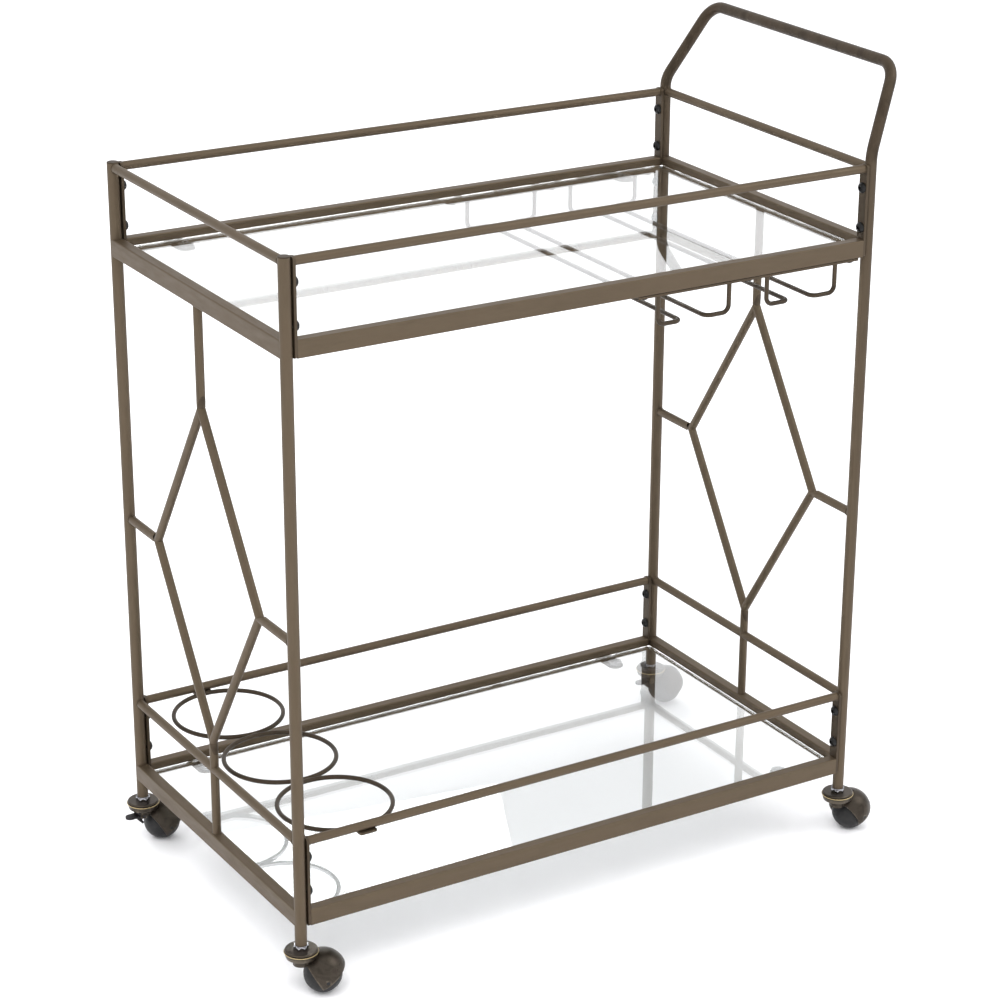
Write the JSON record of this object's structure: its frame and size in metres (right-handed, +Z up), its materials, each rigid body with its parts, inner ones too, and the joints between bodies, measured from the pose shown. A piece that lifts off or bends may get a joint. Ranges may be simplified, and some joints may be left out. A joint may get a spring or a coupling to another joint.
{
  "type": "bar cart",
  "caption": "Two-shelf bar cart with glass shelves, gallery rails, diamond end lattices, stemware rack, bottle rings, push handle and hooded ball casters.",
  "frame": {"origin": "on the floor, at the centre of the overall footprint", "axes": "+Z up, +X along the cart towards the push handle, -Y the front long side"},
  "size_m": [0.7682, 0.4462, 0.8995],
  "materials": {
    "bronze": "antique bronze, satin, lightly mottled",
    "caster_bronze": "antique bronze plating, semi gloss",
    "dark_bolt": "blackened, semi gloss",
    "zinc": "bright zinc",
    "glass": "clear tempered, polished edge",
    "silicone": "clear silicone",
    "wheel_black": "satin black",
    "brake_black": "satin black"
  },
  "bodies": {
    "cart_frame": {"post_left_front": "bronze", "post_left_rear": "bronze", "post_caps": "bronze", "handle_frame_tube": "bronze", "gallery_left_upper": "bronze", "gallery_right_upper": "bronze", "gallery_left_lower": "bronze", "gallery_right_lower": "bronze", "tray_rail_left_upper": "bronze", "tray_rail_right_upper": "bronze", "tray_rail_left_lower": "bronze", "tray_rail_right_lower": "bronze", "gallery_front_upper": "bronze", "gallery_rear_upper": "bronze", "gallery_front_lower": "bronze", "gallery_rear_lower": "bronze", "tray_rail_front_upper": "bronze", "tray_rail_rear_upper": "bronze", "tray_rail_front_lower": "bronze", "tray_rail_rear_lower": "bronze", "panel_straps": "bronze", "panel_bolts": "dark_bolt", "lattice_left": "bronze", "lattice_right": "bronze", "glass_upper": "glass", "glass_lower": "glass", "glass_pads": "silicone", "pad_tabs": "bronze", "rack_straps": "bronze", "rack_wire_1": "bronze", "rack_wire_2": "bronze", "rack_wire_3": "bronze", "rack_wire_4": "bronze", "bottle_ring_front": "bronze", "bottle_ring_middle": "bronze", "bottle_ring_rear": "bronze", "ring_tabs": "bronze", "mounting_screws": "dark_bolt", "caster_inserts": "dark_bolt", "caster_stems": "zinc", "caster_nuts": "zinc", "caster_top_plates": "caster_bronze"},
    "caster_front_left": {"hood_front_left": "caster_bronze", "axle_front_left": "zinc"},
    "ball_front_left": {"wheel_front_left": "wheel_black"},
    "caster_front_right": {"hood_front_right": "caster_bronze", "axle_front_right": "zinc"},
    "ball_front_right": {"wheel_front_right": "wheel_black"},
    "caster_rear_left": {"hood_rear_left": "caster_bronze", "axle_rear_left": "zinc", "brake_pin_rear_left": "dark_bolt"},
    "ball_rear_left": {"wheel_rear_left": "wheel_black"},
    "brake_rear_left": {"brake_lever_rear_left": "brake_black"},
    "caster_rear_right": {"hood_rear_right": "caster_bronze", "axle_rear_right": "zinc", "brake_pin_rear_right": "dark_bolt"},
    "ball_rear_right": {"wheel_rear_right": "wheel_black"},
    "brake_rear_right": {"brake_lever_rear_right": "brake_black"}
  },
  "joints": [
    {"name": "swivel_front_left", "type": "hinge", "parent": "cart_frame", "child": "caster_front_left", "pos_m": [-0.36115, -0.195, 0.0465], "axis": [0, 0, 1], "continuous": true},
    {"name": "spin_front_left", "type": "hinge", "parent": "caster_front_left", "child": "ball_front_left", "pos_m": [-0.33932, -0.20044, 0.0205], "axis": [0.2419, 0.9703, 0], "continuous": true},
    {"name": "swivel_front_right", "type": "hinge", "parent": "cart_frame", "child": "caster_front_right", "pos_m": [0.33315, -0.195, 0.0465], "axis": [0, 0, 1], "continuous": true},
    {"name": "spin_front_right", "type": "hinge", "parent": "caster_front_right", "child": "ball_front_right", "pos_m": [0.35531, -0.19109, 0.0205], "axis": [-0.1736, 0.9848, 0], "continuous": true},
    {"name": "swivel_rear_left", "type": "hinge", "parent": "cart_frame", "child": "caster_rear_left", "pos_m": [-0.36115, 0.195, 0.0465], "axis": [0, 0, 1], "continuous": true},
    {"name": "spin_rear_left", "type": "hinge", "parent": "caster_rear_left", "child": "ball_rear_left", "pos_m": [-0.33868, 0.19618, 0.0205], "axis": [-0.0523, 0.9986, 0], "continuous": true},
    {"name": "brake_rear_left", "type": "hinge", "parent": "caster_rear_left", "child": "brake_rear_left", "pos_m": [-0.36564, 0.19476, 0.0366], "axis": [0.0523, -0.9986, 0], "range_deg": [0, 30]},
    {"name": "swivel_rear_right", "type": "hinge", "parent": "cart_frame", "child": "caster_rear_right", "pos_m": [0.33315, 0.195, 0.0465], "axis": [0, 0, 1], "continuous": true},
    {"name": "spin_rear_right", "type": "hinge", "parent": "caster_rear_right", "child": "ball_rear_right", "pos_m": [0.35559, 0.19657, 0.0205], "axis": [-0.0698, 0.9976, 0], "continuous": true},
    {"name": "brake_rear_right", "type": "hinge", "parent": "caster_rear_right", "child": "brake_rear_right", "pos_m": [0.32866, 0.19469, 0.0366], "axis": [0.0698, -0.9976, 0], "range_deg": [0, 30]}
  ]
}
